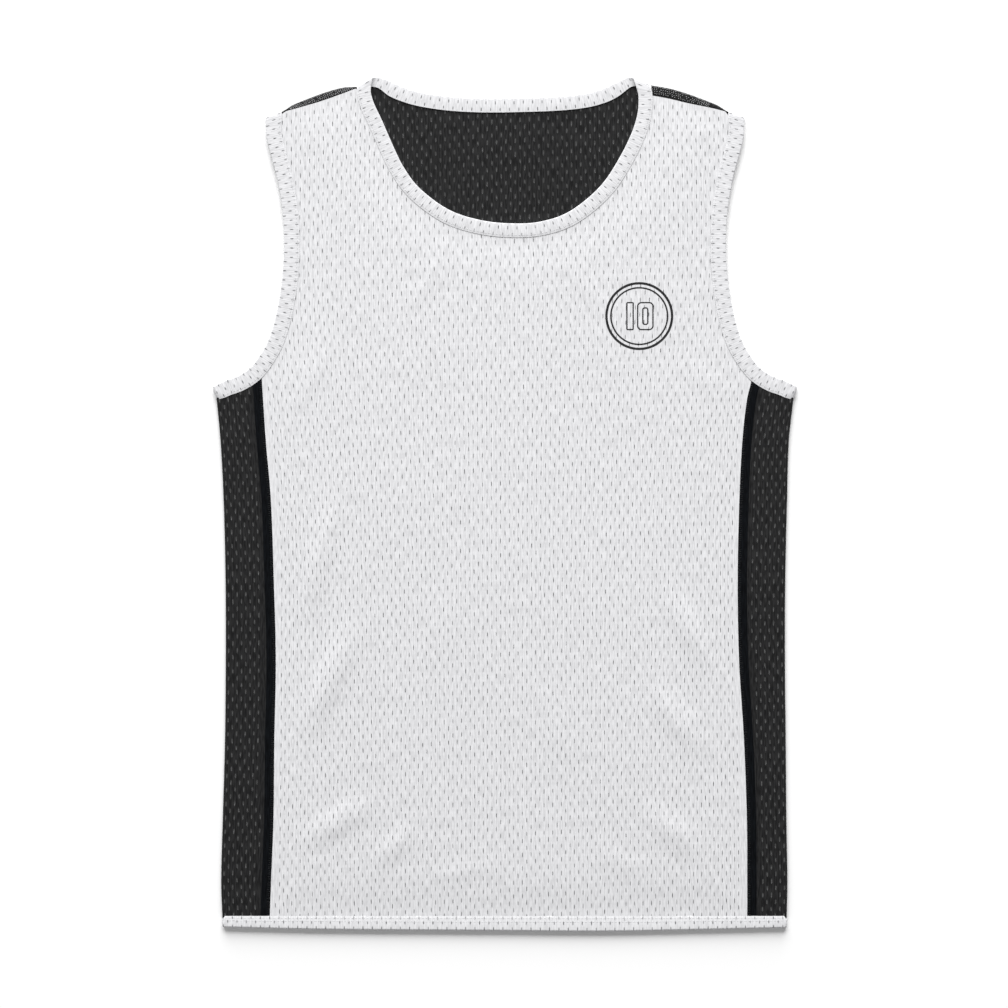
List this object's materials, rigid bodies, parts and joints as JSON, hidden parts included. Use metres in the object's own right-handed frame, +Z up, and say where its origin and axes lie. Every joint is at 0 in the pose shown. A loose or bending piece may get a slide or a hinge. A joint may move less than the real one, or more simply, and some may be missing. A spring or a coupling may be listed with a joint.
{
  "type": "basketball jersey",
  "caption": "Sleeveless reversible mesh basketball jersey laid flat: scooped neck, bound edges, folded side panels.",
  "frame": {"origin": "middle of the garment's footprint, on the surface that it lies on", "axes": "+X to the right as seen from above with the neck at the top, +Y from hem to neck, +Z up out of the front"},
  "size_m": [0.5214, 0.7618, 0.0071],
  "materials": {
    "white_mesh": "white open-mesh knit, slightly sheeny",
    "black_mesh": "black open-mesh knit, slightly sheeny",
    "black_strip": "black ribbed strip, matte",
    "white_binding": "white folded mesh binding"
  },
  "bodies": {
    "root": {"front": "white_mesh", "front_lining": "black_mesh", "back": "white_mesh", "back_lining": "black_mesh", "side_panel_left": "black_mesh", "side_panel_right": "black_mesh", "side_lining_left": "white_mesh", "side_lining_right": "white_mesh", "shoulder_strip_left": "black_strip", "shoulder_strip_right": "black_strip", "neck_binding": "white_binding", "armhole_binding_left": "white_binding", "armhole_binding_right": "white_binding", "hem_band": "white_binding"}
  },
  "joints": []
}
